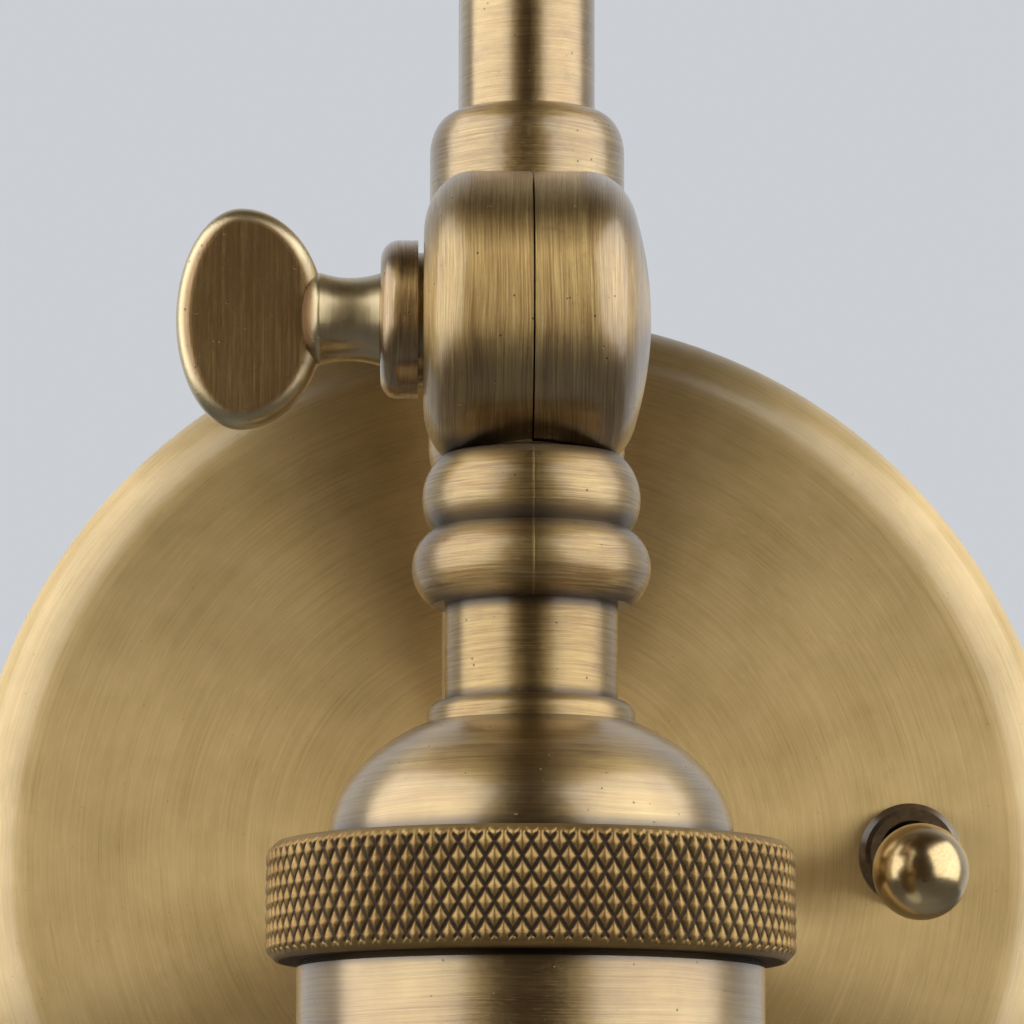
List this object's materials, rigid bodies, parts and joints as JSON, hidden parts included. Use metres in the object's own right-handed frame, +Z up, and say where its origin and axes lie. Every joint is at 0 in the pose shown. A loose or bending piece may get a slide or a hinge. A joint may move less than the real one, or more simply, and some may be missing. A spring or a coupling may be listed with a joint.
{
  "type": "articulating wall lamp",
  "caption": "Wall lamp with a round pan backplate, folding tube arms, a clamping knuckle with a thumb screw and a bare lamp holder with a knurled ring.",
  "frame": {"origin": "centre of the backplate on the wall plane", "axes": "+Y into the wall, +Z up along the folded arms, +X to the right seen from the room"},
  "size_m": [0.1, 0.1052, 0.3984],
  "materials": {
    "antique_brass": "brushed, darkened",
    "plate_brass": "brushed in circles",
    "tube_brass": "brushed round the tube",
    "cast_brass": "brushed over a cast surface",
    "turned_brass": "turned and brushed",
    "bright_brass": "plain",
    "zinc_steel": "zinc plated",
    "fibre": "matt",
    "nylon": "moulded",
    "bakelite": "moulded",
    "porcelain": "glazed",
    "wire_sleeving": "plain",
    "black_glass": "fused",
    "bulb_glass": "clear",
    "filament": "coated"
  },
  "bodies": {
    "root": {"wall_bracket": "zinc_steel", "threaded_nipple": "zinc_steel", "bracket_lock_nut": "zinc_steel", "backplate": "plate_brass", "backplate_nut": "zinc_steel", "swivel_stop_pin": "zinc_steel", "hub_retaining_ring": "zinc_steel", "terminal_block": "nylon", "terminal_block_screws": "zinc_steel", "earth_screw": "zinc_steel", "switch_body": "bakelite", "switch_bush": "antique_brass", "switch_nut": "antique_brass"},
    "arm_1": {"swivel_hub": "antique_brass", "hub_friction_washer": "fibre", "hub_plug": "antique_brass", "arm_1_tube": "tube_brass", "arm_1_grub_screw": "zinc_steel", "arm_1_wires": "wire_sleeving", "elbow_stem_half": "cast_brass", "elbow_friction_disc": "fibre", "elbow_clamp_washer": "turned_brass"},
    "arm_2": {"elbow_collar_half": "cast_brass", "arm_2_tube": "tube_brass", "arm_2_top_cap": "turned_brass", "arm_2_bottom_cap": "turned_brass", "arm_2_grub_screw": "zinc_steel", "swivel_snap_ring": "zinc_steel", "arm_2_wires": "wire_sleeving"},
    "head_swivel_body": {"head_collar_half": "cast_brass"},
    "head": {"head_stem_half": "cast_brass", "head_friction_disc": "fibre", "head_clamp_washer": "turned_brass", "neck_pipe": "tube_brass", "cap_collar": "turned_brass", "socket_cap": "turned_brass", "cap_lock_nut": "zinc_steel", "knurled_ring": "turned_brass", "socket_cup": "turned_brass", "socket_insert": "porcelain", "screw_shell": "bright_brass", "centre_contact": "bright_brass", "terminal_screws": "bright_brass", "head_wires": "wire_sleeving", "bulb_cap": "bright_brass", "bulb_contact": "black_glass", "bulb_glass": "bulb_glass", "bulb_stem": "bulb_glass", "bulb_filaments": "filament"},
    "head_thumb": {"head_thumb_screw": "cast_brass"},
    "elbow_thumb": {"elbow_thumb_screw": "cast_brass"},
    "dolly": {"switch_dolly": "antique_brass"}
  },
  "joints": [
    {"name": "base_swivel", "type": "hinge", "parent": "root", "child": "arm_1", "pos_m": [0, -0.024, 0], "axis": [0, -1, 0], "range_deg": [-70, 70]},
    {"name": "elbow", "type": "hinge", "parent": "arm_1", "child": "arm_2", "pos_m": [0, -0.032, 0.225], "axis": [-1, 0, 0], "range_deg": [0, 120]},
    {"name": "head_swivel", "type": "hinge", "parent": "arm_2", "child": "head_swivel_body", "pos_m": [0, -0.0526, 0.0387], "axis": [0, 0, 1], "range_deg": [-75, 75]},
    {"name": "head_tilt", "type": "hinge", "parent": "head_swivel_body", "child": "head", "pos_m": [0, -0.0732, 0.0387], "axis": [-1, 0, 0], "range_deg": [0, 110]},
    {"name": "head_thumb_turn", "type": "hinge", "parent": "head_swivel_body", "child": "head_thumb", "pos_m": [0, -0.0732, 0.0387], "axis": [-1, 0, 0], "range_deg": [0, 180]},
    {"name": "elbow_thumb_turn", "type": "hinge", "parent": "arm_2", "child": "elbow_thumb", "pos_m": [0, -0.032, 0.225], "axis": [-1, 0, 0], "range_deg": [0, 180]},
    {"name": "switch_throw", "type": "hinge", "parent": "root", "child": "dolly", "pos_m": [0.035, -0.02, 0], "axis": [-1, 0, 0], "range_deg": [0, 24]}
  ]
}
